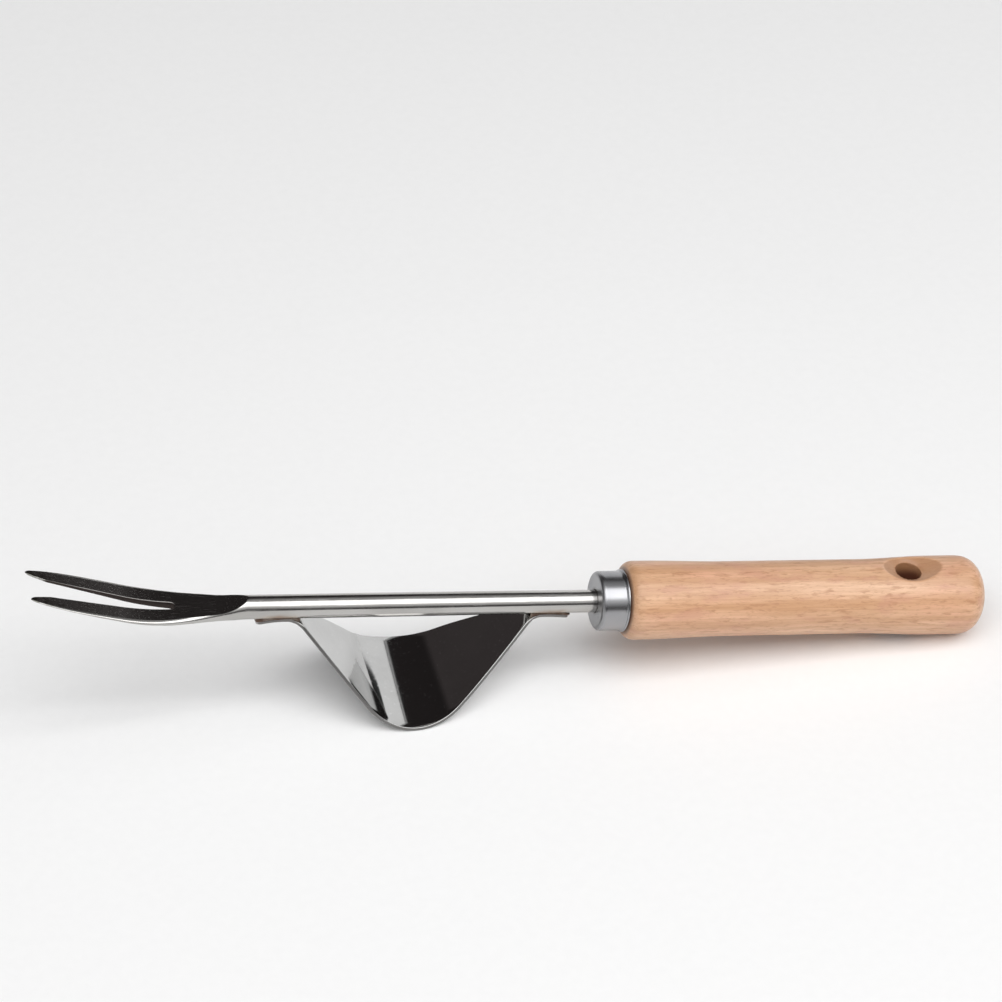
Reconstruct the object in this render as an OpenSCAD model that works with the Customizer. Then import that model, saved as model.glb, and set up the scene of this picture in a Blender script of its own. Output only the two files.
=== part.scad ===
// Hand weeder: a forged two-tine fork on a round shaft, a leaf-shaped fulcrum plate welded
// below the shaft, a steel cap ferrule and a turned wooden handle with a hang hole.
// Millimetres. The origin is the middle of the hang hole, +X runs to the butt, +Z is up.

/* [Overall] */
// Length from the fork tips to the butt of the handle
overall_length = 330; // [310:1:350]

/* [Handle] */
// Length of the wood that shows, from the shoulder to the butt
handle_length = 128.5; // [118:0.5:140]
// Diameter just behind the shoulder
shoulder_diameter = 26.3; // [24:0.1:30]
// Diameter at the slim waist
waist_diameter = 25.1; // [22:0.1:28]
// Diameter at the full part near the butt
butt_diameter = 26.8; // [24:0.1:30]
// Radius of the rounded shoulder edge
shoulder_radius = 3.4; // [1.5:0.1:4]
// Length of the domed end at the butt
dome_length = 12; // [9:0.5:16]

/* [Hang hole] */
// Diameter of the straight part of the hang hole
hang_hole_diameter = 9; // [6:0.1:11]
// Distance from the hang hole's axis to the butt
hang_hole_from_butt = 29; // [24:0.5:36]
// Length of the straight part of the hang hole, between the dished mouths
hang_wall_length = 22; // [18:0.1:23]
// Slope of the shallow dish round each mouth, in degrees
hang_dish_slope = 19; // [12:1:30]

/* [Ferrule] */
// Length of the steel cap
ferrule_length = 9.7; // [8:0.1:14]
// Diameter of the cap's barrel
ferrule_diameter = 19.9; // [18:0.1:22]
// Diameter of the rolled lip at the wood
ferrule_lip_diameter = 21; // [20:0.1:23]
// Width of the rolled lip
ferrule_lip_width = 1; // [0.6:0.1:1.6]
// Wall thickness of the cap
ferrule_wall = 1; // [0.8:0.1:1.5]
// Radius of the rounded front rim
ferrule_rim_radius = 1.6; // [0.8:0.1:2]
// Radial gap between the cap's hole and the shaft
ferrule_hole_gap = 0.1; // [0.05:0.05:0.3]

/* [Shaft] */
// Diameter of the bar along the fulcrum plate
shaft_diameter = 8; // [7:0.1:9]
// Diameter of the bar where it enters the ferrule, and of the tang
neck_diameter = 7.6; // [6.6:0.1:8]
// Length of the tang inside the wood, from the shoulder
tang_length = 66; // [50:1:74]
// Thickness of the glue film around the tang
glue_film = 0.3; // [0.2:0.05:0.5]

/* [Fork] */
// Distance from the tips to the point where the flattened root runs out into the bar
fork_length = 74; // [72:1:80]
// Greatest width across both tines
fork_width = 19.2; // [16:0.1:21]
// Width across both points
point_spread = 14.8; // [12:0.1:16]
// Depth of the slot between the tines
slot_depth = 47.5; // [42:0.5:54]
// Width of the slot at its root
slot_root_width = 3.1; // [2.4:0.1:4.4]
// How much each side of the slot opens for each millimetre towards the tips
slot_flare = 0.06; // [0.04:0.002:0.08]
// Height of the flat upper face above the bar's axis
face_height = 1.2; // [0.8:0.1:2]
// Distance from the tips to the point where the tines start to bend up
bend_from_tips = 50; // [44:1:56]
// Angle by which the tines bend up
tine_angle = 13.5; // [8:0.5:18]
// Radius of the bend in the tines
tine_bend_radius = 80; // [50:5:110]
// Thickness of the points
point_thickness = 0.6; // [0.5:0.1:1.2]

/* [Fulcrum plate] */
// Sheet thickness
plate_thickness = 1.2; // [1:0.1:2]
// Depth from the bar's axis to the lowest point
plate_depth = 35.1; // [30:0.1:42]
// Greatest width of the leaf
plate_width = 46.6; // [40:0.2:50]
// Width of the leaf where it bends into each tab
neck_width = 6.6; // [6:0.1:10]
// Width of each tab at its end
tab_width = 4.8; // [4.5:0.1:7]
// Length of each flat tab
tab_length = 13; // [10:0.5:15]
// Outside radius of the rounded apex
apex_radius = 22.4; // [18:0.2:26]
// Slope of the two legs
leg_angle = 45; // [42:0.5:48]
// Radius on the underside of the bend at each tab
tab_bend_radius = 3; // [2:0.5:4]
// Distance from the fork tips to the middle of the plate
plate_from_tips = 130.2; // [126:0.2:136]
// Roundness of the leaf's widest part
leaf_roundness = 0.37; // [0.2:0.01:0.6]

/* [Welds] */
// Thickness of weld metal between the shaft and each tab
weld_gap = 0.15; // [0.1:0.05:0.3]
// How far the weld metal stands out from the shaft
weld_rise = 1; // [0.6:0.1:1.4]
// Margin of weld metal around each tab
weld_margin = 1.1; // [0.8:0.1:1.6]

/* [Hidden] */
$fn = 96;
eps = 0.01;

butt_x = hang_hole_from_butt;
tips_x = butt_x - overall_length;
shoulder_x = butt_x - handle_length;
ferrule_x = shoulder_x - ferrule_length;
tang_end_x = shoulder_x + tang_length;
fork_end_x = tips_x + fork_length;

// Handle and its hidden spigot
profile_steps = 72;
waist_from_butt = 62;
dome_power = 3.4;
dome_fullness = 1.65;
spigot_gap = 0.02;
spigot_end_gap = 0.1;
bore_diameter = neck_diameter + 2 * glue_film;
bore_end_x = tang_end_x + 1.2;
drill_tip = bore_diameter * 0.3;

// Fork loft
section_points = 36;
loft_steps = 44;
loft_skin = 0.04;
point_length = 7;
point_inner_half = 6;
widest_s = 22;
runout_radius = 21.6;
runout_start_s = 62;

// Fulcrum plate
plate_x = tips_x + plate_from_tips;
apex_z = apex_radius - plate_depth;
tab_top_z = -shaft_diameter / 2 - weld_gap;
bend_z = tab_top_z - plate_thickness - tab_bend_radius;
bend_reach = apex_radius + tab_bend_radius;
leg_length = (bend_z - apex_z + bend_reach * cos(leg_angle)) / sin(leg_angle);
bend_dx = leg_length * cos(leg_angle) + bend_reach * sin(leg_angle);
leg_start_dx = apex_radius * sin(leg_angle);
apex_half_arc = apex_radius * leg_angle * PI / 180;
leaf_half_arc = apex_half_arc + (bend_dx - leg_start_dx) / cos(leg_angle);
leaf_steps = 44;
tab_end_dx = bend_dx + tab_length;

function blend(a, b, t) = a + (b - a) * t;
function clamp01(t) = min(1, max(0, t));
function smooth(t) = 0.5 - 0.5 * cos(180 * clamp01(t));

// ---- Handle ----

function swell(d, from_d, to_d, from_r, to_r) =
    blend(from_r, to_r, smooth((d - from_d) / (to_d - from_d)));

function handle_radius(d) =
    let(waist_d = handle_length - waist_from_butt)
    let(full_d = handle_length - 19)
    d < shoulder_radius ?
        shoulder_diameter / 2 - shoulder_radius
            + sqrt(pow(shoulder_radius, 2) - pow(shoulder_radius - d, 2)) :
    d < waist_d ?
        swell(d, shoulder_radius + 2, waist_d * 0.55, shoulder_diameter / 2, waist_diameter / 2) :
    d < full_d ?
        swell(d, waist_d + 16, full_d, waist_diameter / 2, butt_diameter / 2) :
    let(u = clamp01((d - handle_length + dome_length) / dome_length))
        butt_diameter / 2 * pow(max(0, 1 - pow(u, dome_power)), 1 / dome_fullness);

// Positions along the wood, closer together at the two rounded ends.
function handle_station(i) =
    handle_length * (0.5 - 0.5 * cos(180 * i / profile_steps));

module handle_blank() {
    translate([shoulder_x, 0, 0])
        rotate([0, 90, 0])
            rotate_extrude()
                polygon(concat(
                    [for (i = [0 : profile_steps - 1])
                        [handle_radius(handle_station(i)), handle_station(i)]],
                    [[0, handle_length], [0, 0]]
                ));
}

module spigot() {
    front_x = ferrule_x + ferrule_wall + spigot_end_gap;
    radius = ferrule_diameter / 2 - ferrule_wall - spigot_gap;
    chamfer = ferrule_rim_radius;
    translate([front_x, 0, 0])
        rotate([0, 90, 0])
            cylinder(h = chamfer, r1 = radius - chamfer, r2 = radius);
    translate([front_x + chamfer, 0, 0])
        rotate([0, 90, 0])
            cylinder(h = shoulder_x - front_x - chamfer + eps, r = radius);
}

module tang_bore() {
    translate([ferrule_x, 0, 0])
        rotate([0, 90, 0])
            cylinder(h = bore_end_x - ferrule_x, d = bore_diameter);
    translate([bore_end_x, 0, 0])
        rotate([0, 90, 0])
            cylinder(h = drill_tip, d1 = bore_diameter, d2 = 0);
}

// The mouth is a wide, shallow cone that meets the round handle in an oval rim.
module hang_mouth() {
    height = 5;
    translate([0, 0, hang_wall_length / 2])
        cylinder(
            h = height,
            r1 = hang_hole_diameter / 2,
            r2 = hang_hole_diameter / 2 + height / tan(hang_dish_slope)
        );
}

module hang_hole() {
    cylinder(h = 2 * butt_diameter, d = hang_hole_diameter, center = true);
    hang_mouth();
    mirror([0, 0, 1])
        hang_mouth();
}

module handle() {
    color([0.84, 0.66, 0.50])
        difference() {
            union() {
                handle_blank();
                spigot();
            }
            tang_bore();
            hang_hole();
        }
}

// ---- Ferrule ----

module ferrule_outside() {
    rim = ferrule_rim_radius;
    barrel_r = ferrule_diameter / 2;
    lip_r = ferrule_lip_diameter / 2;
    lip_start = ferrule_length - ferrule_lip_width;
    translate([ferrule_x, 0, 0])
        rotate([0, 90, 0])
            rotate_extrude() {
                square([barrel_r - rim, rim + eps]);
                translate([barrel_r - rim, rim])
                    intersection() {
                        circle(r = rim);
                        translate([-rim, -rim])
                            square([2 * rim, rim + eps]);
                    }
                polygon([
                    [0, rim],
                    [barrel_r, rim],
                    [barrel_r, lip_start - 0.7],
                    [lip_r, lip_start],
                    [lip_r, ferrule_length],
                    [0, ferrule_length]
                ]);
            }
}

module ferrule_inside() {
    radius = ferrule_diameter / 2 - ferrule_wall;
    chamfer = ferrule_rim_radius;
    translate([ferrule_x + ferrule_wall, 0, 0])
        rotate([0, 90, 0])
            cylinder(h = chamfer, r1 = radius - chamfer, r2 = radius);
    translate([ferrule_x + ferrule_wall + chamfer, 0, 0])
        rotate([0, 90, 0])
            cylinder(h = ferrule_length - ferrule_wall - chamfer + eps, r = radius);
}

module ferrule() {
    color([0.72, 0.72, 0.74])
        difference() {
            ferrule_outside();
            ferrule_inside();
            translate([ferrule_x - 1, 0, 0])
                rotate([0, 90, 0])
                    cylinder(h = ferrule_wall + 2, r = neck_diameter / 2 + ferrule_hole_gap);
        }
}

// ---- Fork and shaft ----
// In this section s is the distance from the tips.

function outline_half(s) =
    s < widest_s ?
        fork_width / 2 - (fork_width - point_spread) / 2 * pow(1 - s / widest_s, 2.8) :
        blend(fork_width / 2, shaft_diameter / 2,
            smooth(pow(clamp01((s - widest_s) / (fork_length + 3 - widest_s)), 1.4)));

function tine_rise(s) =
    let(along = max(0, bend_from_tips - s))
    let(arc = tine_bend_radius * sin(tine_angle))
    along < arc ?
        tine_bend_radius - sqrt(pow(tine_bend_radius, 2) - pow(along, 2)) :
        tine_bend_radius * (1 - cos(tine_angle)) + (along - arc) * tan(tine_angle);

function face_z(s) = face_height + tine_rise(s);

function thickness(s) =
    point_thickness + 0.042 * s + 0.0018 * pow(max(0, s - 38), 2);

function belly_z(s) = max(-shaft_diameter / 2 - loft_skin, face_z(s) - thickness(s));

// The ground face runs out of the round bar along an arc.
function clip_z(s) =
    face_z(s) + (s > runout_start_s ? pow(s - runout_start_s, 2) / (2 * runout_radius) : 0);

// The section is squarish at the points and an oval with a flat on top behind them.
function section_point(s, a) =
    let(oval = smooth(s / 14))
    let(k = smooth((s - 50) / 24))
    let(bar = shaft_diameter / 2 + loft_skin)
    let(half = blend(outline_half(s), bar, smooth((s - fork_length + 6) / 6)))
    let(mid = blend(face_z(s) - 0.4 * thickness(s), 0, k))
    let(up = blend(blend(0.8, 0.51, oval) * thickness(s), bar, k))
    let(down = mid - belly_z(s))
    let(power = blend(0.6, 1, oval))
    let(c = cos(a))
    let(n = sin(a))
        [half * sign(c) * pow(abs(c), power),
         min(clip_z(s), mid + (n > 0 ? up : down) * sign(n) * pow(abs(n), power))];

module fork_loft() {
    n = section_points;
    points = [
        for (j = [0 : loft_steps])
            for (i = [0 : n - 1])
                let(s = fork_length * j / loft_steps)
                let(p = section_point(s, 360 * (i + 0.5) / n))
                    [tips_x + s, p[0], p[1]]
    ];
    sides = [
        for (j = [0 : loft_steps - 1])
            for (i = [0 : n - 1])
                let(a = j * n + i)
                let(b = j * n + (i + 1) % n)
                    [a + n, b + n, b, a]
    ];
    tip_cap = [[for (i = [0 : n - 1]) i]];
    root_cap = [[for (i = [n - 1 : -1 : 0]) loft_steps * n + i]];
    polyhedron(points = points, faces = concat(sides, tip_cap, root_cap), convexity = 6);
}

function slot_half(s) = slot_root_width / 2 + slot_flare * (slot_depth - s);

module fork_slot() {
    mouth = point_length;
    translate([tips_x, 0, -10])
        linear_extrude(height = 40) {
            polygon([
                [-1, point_inner_half],
                [0, point_inner_half],
                [mouth * 0.45, blend(point_inner_half, slot_half(mouth), 0.72)],
                [mouth, slot_half(mouth)],
                [slot_depth, slot_root_width / 2],
                [slot_depth, -slot_root_width / 2],
                [mouth, -slot_half(mouth)],
                [mouth * 0.45, -blend(point_inner_half, slot_half(mouth), 0.72)],
                [0, -point_inner_half],
                [-1, -point_inner_half]
            ]);
            translate([slot_depth, 0])
                circle(d = slot_root_width);
        }
}

// The round bar and the tang, without the fork.
module fork_bar() {
    bar_x = fork_end_x - 0.6;
    neck_x = plate_x + tab_end_dx;
    point = 2;
    translate([bar_x, 0, 0])
        rotate([0, 90, 0])
            cylinder(h = plate_x - bar_x + eps, d = shaft_diameter);
    translate([plate_x, 0, 0])
        rotate([0, 90, 0])
            cylinder(h = neck_x - plate_x, d1 = shaft_diameter, d2 = neck_diameter);
    translate([neck_x - eps, 0, 0])
        rotate([0, 90, 0])
            cylinder(h = tang_end_x - neck_x - point + 2 * eps, d = neck_diameter);
    translate([tang_end_x - point, 0, 0])
        rotate([0, 90, 0])
            cylinder(h = point, d1 = neck_diameter, d2 = neck_diameter - 3);
}

module fork_shaft() {
    color([0.70, 0.70, 0.72]) {
        difference() {
            fork_loft();
            fork_slot();
        }
        fork_bar();
    }
}

// ---- Fulcrum plate ----

// Distance along the sheet from the middle of the apex, for a distance along X.
function leaf_arc(dx) =
    dx < leg_start_dx ?
        apex_radius * asin(dx / apex_radius) * PI / 180 :
        apex_half_arc + (dx - leg_start_dx) / cos(leg_angle);

function leaf_half(dx) =
    let(u = leaf_arc(dx) / leaf_half_arc)
    let(r = leaf_roundness)
    let(top = sqrt(1 + r * r))
        blend(neck_width / 2, plate_width / 2, (top - sqrt(u * u + r * r)) / (top - r));

module leaf_outline() {
    half = concat(
        [for (i = [0 : leaf_steps])
            let(dx = bend_dx * i / leaf_steps) [dx, leaf_half(dx)]],
        [for (i = [0 : 8])
            let(a = 90 - 11.25 * i)
                [tab_end_dx - tab_width / 2 + tab_width / 2 * cos(a), tab_width / 2 * sin(a)]]
    );
    n = len(half);
    polygon(concat(
        [for (i = [0 : n - 1]) half[i]],
        [for (i = [n - 2 : -1 : 1]) [half[i][0], -half[i][1]]],
        [for (i = [0 : n - 1]) [-half[i][0], -half[i][1]]],
        [for (i = [n - 2 : -1 : 1]) [-half[i][0], half[i][1]]]
    ));
}

module bent_sheet_side() {
    wide = plate_width + 2;
    translate([0, 0, apex_z])
        rotate([0, -leg_angle, 0])
            translate([-eps, -wide / 2, -apex_radius])
                cube([leg_length + 2 * eps, wide, plate_thickness]);
    translate([bend_dx, 0, bend_z])
        rotate([90, 0, 0])
            rotate([0, 0, 90])
                rotate_extrude(angle = leg_angle)
                    translate([tab_bend_radius, -wide / 2])
                        square([plate_thickness, wide]);
    translate([bend_dx - eps, -wide / 2, tab_top_z - plate_thickness])
        cube([tab_length + 2, wide, plate_thickness]);
}

module bent_sheet() {
    wide = plate_width + 2;
    translate([0, 0, apex_z])
        rotate([90, 0, 0])
            rotate([0, 0, 270 - leg_angle])
                rotate_extrude(angle = 2 * leg_angle)
                    translate([apex_radius - plate_thickness, -wide / 2])
                        square([plate_thickness, wide]);
    bent_sheet_side();
    mirror([1, 0, 0])
        bent_sheet_side();
}

module fulcrum_plate() {
    color([0.68, 0.68, 0.70])
        translate([plate_x, 0, 0])
            intersection() {
                bent_sheet();
                translate([0, 0, -plate_depth - 5])
                    linear_extrude(height = plate_depth + 5)
                        leaf_outline();
            }
}

// ---- Welds ----

// Weld metal fills the gap over a tab and runs round the tab's end. The outline is an oval.
module weld_metal() {
    length = tab_length + weld_margin + 1;
    half = tab_width / 2 + weld_margin;
    mid_x = bend_dx - 1 + length / 2;
    intersection() {
        translate([mid_x, 0, -shaft_diameter / 2 - 0.7])
            linear_extrude(height = 2.6) {
                translate([length / 2 - half, 0])
                    circle(r = half);
                translate([half - length / 2, 0])
                    circle(r = half);
                square([length - 2 * half, 2 * half], center = true);
            }
        translate([bend_dx - 4, 0, 0])
            rotate([0, 90, 0])
                cylinder(h = length + 8, d = shaft_diameter + 2 * weld_rise);
    }
}

module front_weld() {
    color([0.55, 0.47, 0.40])
        difference() {
            translate([plate_x, 0, 0])
                mirror([1, 0, 0])
                    weld_metal();
            fork_bar();
            fulcrum_plate();
        }
}

module rear_weld() {
    color([0.55, 0.47, 0.40])
        difference() {
            translate([plate_x, 0, 0])
                weld_metal();
            fork_bar();
            fulcrum_plate();
        }
}

// ---- Glue ----

module tang_adhesive() {
    front_x = ferrule_x + ferrule_wall + spigot_end_gap;
    color([0.80, 0.74, 0.55])
        difference() {
            intersection() {
                tang_bore();
                translate([front_x, 0, 0])
                    rotate([0, 90, 0])
                        cylinder(h = overall_length, d = bore_diameter + 2);
            }
            fork_bar();
        }
}

handle();
ferrule();
fork_shaft();
fulcrum_plate();
front_weld();
rear_weld();
tang_adhesive();
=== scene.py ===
import math

import bmesh
import bpy
import numpy as np
from mathutils import Matrix, Vector


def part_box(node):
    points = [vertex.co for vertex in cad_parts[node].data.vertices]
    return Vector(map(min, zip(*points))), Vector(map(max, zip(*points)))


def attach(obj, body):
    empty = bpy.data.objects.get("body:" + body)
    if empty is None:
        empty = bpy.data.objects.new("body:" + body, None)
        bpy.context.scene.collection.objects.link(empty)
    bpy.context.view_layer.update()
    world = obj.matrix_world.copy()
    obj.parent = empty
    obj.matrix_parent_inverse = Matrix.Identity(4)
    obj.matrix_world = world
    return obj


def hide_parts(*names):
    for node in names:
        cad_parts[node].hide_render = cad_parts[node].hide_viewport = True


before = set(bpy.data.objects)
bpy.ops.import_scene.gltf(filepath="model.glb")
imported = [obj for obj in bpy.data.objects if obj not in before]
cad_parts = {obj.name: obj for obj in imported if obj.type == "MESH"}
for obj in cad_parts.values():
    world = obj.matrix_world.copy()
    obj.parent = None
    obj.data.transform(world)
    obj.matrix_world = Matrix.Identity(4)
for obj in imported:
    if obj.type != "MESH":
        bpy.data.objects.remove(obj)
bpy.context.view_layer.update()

MM = 0.001


# ---------------------------------------------------------------- sizes from the frame

def limits(node):
    low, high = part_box(node)
    return [c / MM for c in low], [c / MM for c in high]


fork_low, fork_high = limits("fork_shaft")
ferrule_low, ferrule_high = limits("ferrule")
handle_low, handle_high = limits("handle")
plate_low, plate_high = limits("fulcrum_plate")

TIPS_X = fork_low[0]
TANG_END_X = fork_high[0]
BUTT_X = handle_high[0]
FERRULE_X = ferrule_low[0]
SHOULDER_X = ferrule_high[0]
HANDLE_LENGTH = BUTT_X - SHOULDER_X
PLATE_X = 0.5 * (plate_low[0] + plate_high[0])
PLATE_DEPTH = -plate_low[2]
PLATE_WIDTH = plate_high[1] - plate_low[1]
FORK_WIDTH = fork_high[1] - fork_low[1]
BUTT_DIAMETER = handle_high[1] - handle_low[1]
LIP_R = ferrule_high[1]

SHAFT_R = 4.0
NECK_R = 3.8
SHOULDER_R = 13.15
SHOULDER_ROUND = 3.4
WAIST_R = 12.55
WAIST_FROM_BUTT = 62.0
FULL_FROM_BUTT = 19.0
VOXEL = 0.30
DOME = 12.0
HOLE_R = 4.5
HOLE_WALL = 11.0
DISH_SLOPE = math.radians(19.0)
FERRULE_R = 9.95
FERRULE_RIM = 1.6
FORK_LENGTH = 74.0
POINT_SPREAD = 14.8
SLOT_DEPTH = 47.5
SLOT_ROOT_R = 1.55
BEND_S = 50.0
BEND_R = 80.0
BEND_ANGLE = math.radians(13.5)
POINT_LENGTH = 22.0
MOUTH_LENGTH = 7.0
MOUTH_HALF = 6.1
SLOT_FLARE = 0.06
FACE_Z = 1.2
SHEET = 1.2
NECK_HALF = 3.3
TAB_HALF = 2.4
TAB_LENGTH = 13.0
APEX_R = 22.4
LEG = math.radians(45.0)
TAB_BEND_R = 3.0
LEAF_ROUND = 0.37
WELD_GAP = 0.15
FRONT_SPRING = 1.45
REAR_SPRING = 0.75
HUG_HALF = 3.4


# ---------------------------------------------------------------- small helpers

def clamp01(t):
    return min(1.0, max(0.0, t))


def blend(a, b, t):
    return a + (b - a) * t


def smooth(t):
    return 0.5 - 0.5 * math.cos(math.pi * clamp01(t))


def mesh_object(name, verts, faces, merge=None, sharp=None):
    mesh = bpy.data.meshes.new(name)
    mesh.from_pydata([tuple(c * MM for c in v) for v in verts], [], faces)
    if merge:
        bm = bmesh.new()
        bm.from_mesh(mesh)
        bmesh.ops.remove_doubles(bm, verts=bm.verts, dist=merge * MM)
        bmesh.ops.dissolve_degenerate(bm, edges=bm.edges, dist=merge * MM * 0.5)
        bmesh.ops.recalc_face_normals(bm, faces=bm.faces)
        bm.to_mesh(mesh)
        bm.free()
    mesh.validate()
    obj = bpy.data.objects.new(name, mesh)
    bpy.context.scene.collection.objects.link(obj)
    mesh.shade_smooth()
    if sharp is not None:
        mesh.set_sharp_from_angle(angle=math.radians(sharp))
    return obj


def lathe(name, profile, segments=160, closed=True, axis="X", sharp=None):
    """Revolves (position, radius) pairs about the X or Z axis."""
    verts, faces = [], []
    for along, r in profile:
        for k in range(segments):
            a = 2 * math.pi * k / segments
            p, q = r * math.cos(a), r * math.sin(a)
            verts.append((along, p, q) if axis == "X" else (p, q, along))
    rows = len(profile)
    for j in range(rows if closed else rows - 1):
        n = (j + 1) % rows
        for k in range(segments):
            m = (k + 1) % segments
            faces.append((j * segments + k, j * segments + m, n * segments + m, n * segments + k))
    return mesh_object(name, verts, faces, merge=0.0005, sharp=sharp)


def apply_modifiers(obj):
    depsgraph = bpy.context.evaluated_depsgraph_get()
    mesh = bpy.data.meshes.new_from_object(obj.evaluated_get(depsgraph))
    obj.modifiers.clear()
    old = obj.data
    obj.data = mesh
    bpy.data.meshes.remove(old)


# ---------------------------------------------------------------- handle

def swell(d, from_d, to_d, from_r, to_r):
    return blend(from_r, to_r, smooth((d - from_d) / (to_d - from_d)))


def handle_radius(d):
    waist_d = HANDLE_LENGTH - WAIST_FROM_BUTT
    full_d = HANDLE_LENGTH - FULL_FROM_BUTT
    if d < SHOULDER_ROUND:
        rise = math.sqrt(SHOULDER_ROUND ** 2 - (SHOULDER_ROUND - d) ** 2)
        return SHOULDER_R - SHOULDER_ROUND + rise
    if d < waist_d:
        return swell(d, SHOULDER_ROUND + 2, waist_d * 0.55, SHOULDER_R, WAIST_R)
    if d < full_d:
        return swell(d, waist_d + 16, full_d, WAIST_R, BUTT_DIAMETER / 2)
    u = clamp01((d - HANDLE_LENGTH + DOME) / DOME)
    return BUTT_DIAMETER / 2 * max(0.0, 1 - u ** 3.4) ** (1 / 1.65)


def build_handle():
    steps = 220
    profile = [(SHOULDER_X, 0.0)]
    for i in range(steps):
        d = HANDLE_LENGTH * (0.5 - 0.5 * math.cos(math.pi * i / steps))
        profile.append((SHOULDER_X + d, handle_radius(d)))
    profile.append((BUTT_X, 0.0))
    handle = lathe("handle_wood", profile, segments=200, closed=False)
    lip = 0.35
    cutter_half = [(HOLE_WALL - lip * math.cos(a), HOLE_R + lip - lip * math.sin(a))
                   for a in [math.pi / 2 - (math.pi / 2 - DISH_SLOPE) * i / 8 for i in range(9)]]
    cutter_half += [(HOLE_WALL + d * math.tan(DISH_SLOPE), HOLE_R + lip + d)
                    for d in (0.6, 3.0, 6.0, 12.0)]
    cutter_half += [(24.0, cutter_half[-1][1]), (24.0, 0.0)]
    cutter_profile = [(-z, r) for z, r in reversed(cutter_half)] + cutter_half
    cutter = lathe("hang_cutter", cutter_profile, segments=128, closed=False, axis="Z")
    cut = handle.modifiers.new("cut", "BOOLEAN")
    cut.operation = "DIFFERENCE"
    cut.solver = "EXACT"
    cut.object = cutter
    remesh = handle.modifiers.new("remesh", "REMESH")
    remesh.mode = "VOXEL"
    remesh.voxel_size = VOXEL * MM
    remesh.use_smooth_shade = True
    relax = handle.modifiers.new("relax", "SMOOTH")
    relax.factor = 0.5
    relax.iterations = 3
    apply_modifiers(handle)
    bpy.data.objects.remove(cutter)
    handle.data.shade_smooth()
    return handle


# ---------------------------------------------------------------- ferrule

def build_ferrule():
    x0, length, rim, barrel = FERRULE_X, SHOULDER_X - FERRULE_X, FERRULE_RIM, FERRULE_R
    hole = NECK_R + 0.1
    profile = [(x0 + 1.0, hole), (x0 + 0.25, hole), (x0 + 0.08, hole + 0.07), (x0, hole + 0.22)]
    profile += [(x0, blend(hole + 0.3, barrel - rim - 0.05, i / 10)) for i in range(11)]
    profile += [(x0 + rim - rim * math.cos(a), barrel - rim + rim * math.sin(a))
                for a in [math.pi / 2 * i / 14 for i in range(15)]]
    cove, lip = length - 1.75, length - 0.95
    profile += [(x0 + blend(rim, cove, i / 16), barrel) for i in range(1, 17)]
    profile += [(x0 + blend(cove, lip, t),
                 barrel + (LIP_R - barrel) * (1 - math.cos(math.pi / 2 * t)))
                for t in [i / 8 for i in range(1, 8)]]
    roll = 0.5
    profile += [(x0 + length - roll + roll * math.sin(a), LIP_R - roll + roll * math.cos(a))
                for a in [math.pi / 2 * (i / 7 - 1) * 0.75 for i in range(1, 7)]]
    profile += [(x0 + length - roll + roll * math.sin(a), LIP_R - roll + roll * math.cos(a))
                for a in [math.pi / 2 * i / 8 for i in range(0, 8)]]
    profile += [(x0 + length, barrel - 1.0), (x0 + 2.6, barrel - 1.0), (x0 + 1.0, barrel - 2.6)]
    return lathe("ferrule_cap", profile, segments=200, sharp=50)


# ---------------------------------------------------------------- fork and shaft

def outline_half(s):
    if s < POINT_LENGTH:
        return FORK_WIDTH / 2 - (FORK_WIDTH - POINT_SPREAD) / 2 * (1 - s / POINT_LENGTH) ** 2.8
    t = clamp01((s - POINT_LENGTH) / (FORK_LENGTH + 3 - POINT_LENGTH))
    return blend(FORK_WIDTH / 2, SHAFT_R, smooth(t ** 1.4))


def tine_rise(s):
    along = max(0.0, BEND_S - s)
    arc = BEND_R * math.sin(BEND_ANGLE)
    if along < arc:
        return BEND_R - math.sqrt(BEND_R ** 2 - along ** 2)
    return BEND_R * (1 - math.cos(BEND_ANGLE)) + (along - arc) * math.tan(BEND_ANGLE)


def face_z(s):
    return FACE_Z + tine_rise(s)


def thickness(s):
    return 0.6 + 0.042 * s + 0.0018 * max(0.0, s - 38) ** 2


def clip_z(s):
    return face_z(s) + (max(0.0, s - 62) ** 2) / 43.2


def slot_half(s):
    """Half width of the slot; it closes in a half circle at its root."""
    if s <= SLOT_DEPTH:
        h = SLOT_ROOT_R + SLOT_FLARE * (SLOT_DEPTH - s)
        if s < MOUTH_LENGTH:
            wide = SLOT_ROOT_R + SLOT_FLARE * (SLOT_DEPTH - MOUTH_LENGTH)
            h = blend(MOUTH_HALF, wide, (s / MOUTH_LENGTH) ** 0.75)
        return h
    inside = SLOT_ROOT_R ** 2 - (s - SLOT_DEPTH) ** 2
    return math.sqrt(inside) if inside > 0 else 0.0


def slot_distance(s, y):
    if s <= SLOT_DEPTH:
        return max(0.0, y - slot_half(s))
    return max(0.0, math.hypot(s - SLOT_DEPTH, y) - SLOT_ROOT_R)


def shaft_radius(x):
    neck_x = PLATE_X + 0.5 * (plate_high[0] - plate_low[0])
    return blend(SHAFT_R, NECK_R, clamp01((x - PLATE_X) / (neck_x - PLATE_X)))


NEAR_EDGE = (0.0, 0.05, 0.13, 0.25, 0.4, 0.6)
FLAT_POINTS = 10
OUTER_POINTS = 46
CONTOUR = 2 * len(NEAR_EDGE) + FLAT_POINTS + 1 + OUTER_POINTS


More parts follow.
